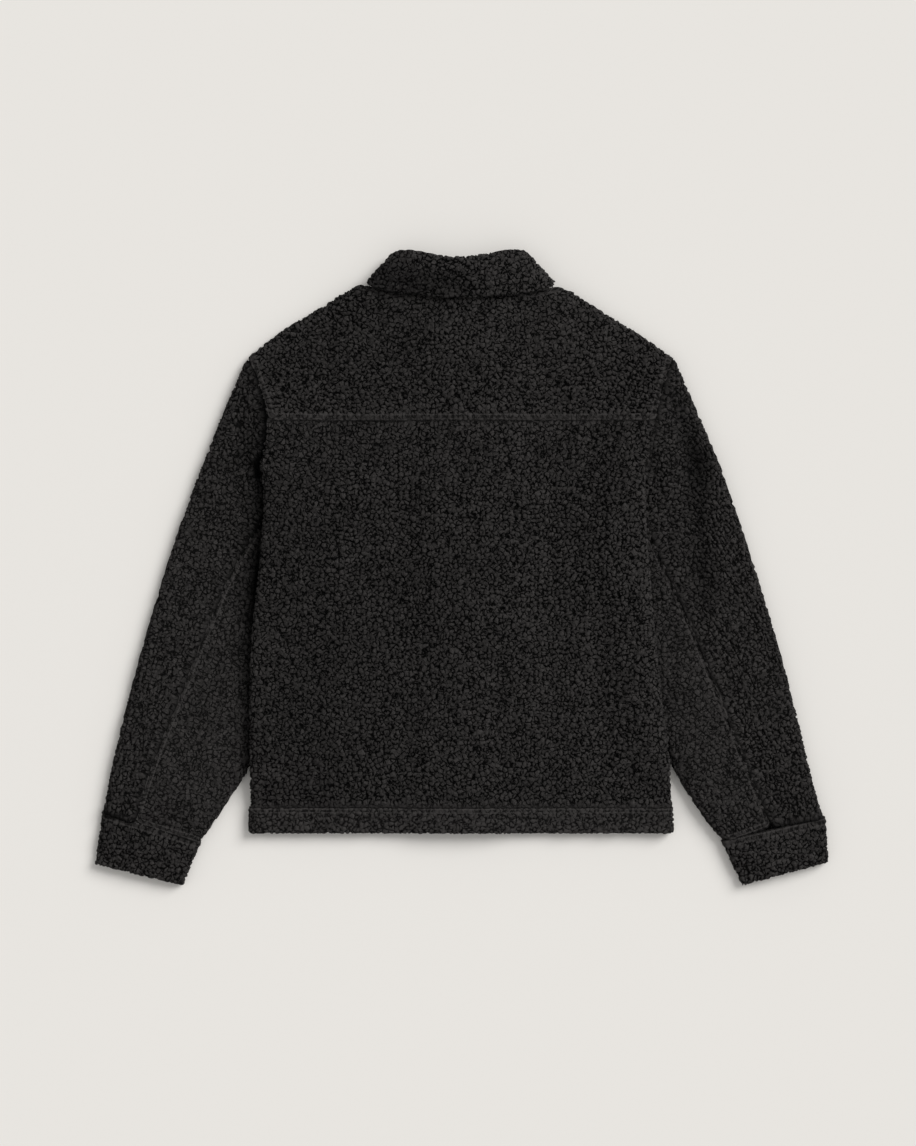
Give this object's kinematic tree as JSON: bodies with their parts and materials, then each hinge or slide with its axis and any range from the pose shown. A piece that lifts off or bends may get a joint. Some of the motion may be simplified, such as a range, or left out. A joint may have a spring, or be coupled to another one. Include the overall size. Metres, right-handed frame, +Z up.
{
  "type": "high pile fleece jacket",
  "caption": "Boxy high pile fleece jacket with a turned-down collar, back yoke, hem band and cuffs, laid flat and face down with its sleeves beside it.",
  "frame": {"origin": "centre of the jacket's bounding box, on the surface it lies on", "axes": "+Z up from the surface, out of the jacket's back; +Y towards the collar; +X towards the wearer's right sleeve"},
  "size_m": [0.9056, 0.7842, 0.0271],
  "materials": {
    "fleece": "black high pile polyester fleece, matte, curled tufts"
  },
  "bodies": {
    "root": {"back": "fleece", "back_yoke": "fleece", "front_left": "fleece", "front_right": "fleece", "hem_band": "fleece", "sleeve_upper_left": "fleece", "sleeve_under_left": "fleece", "sleeve_upper_right": "fleece", "sleeve_under_right": "fleece", "cuff_left": "fleece", "cuff_right": "fleece", "collar": "fleece"}
  },
  "joints": []
}
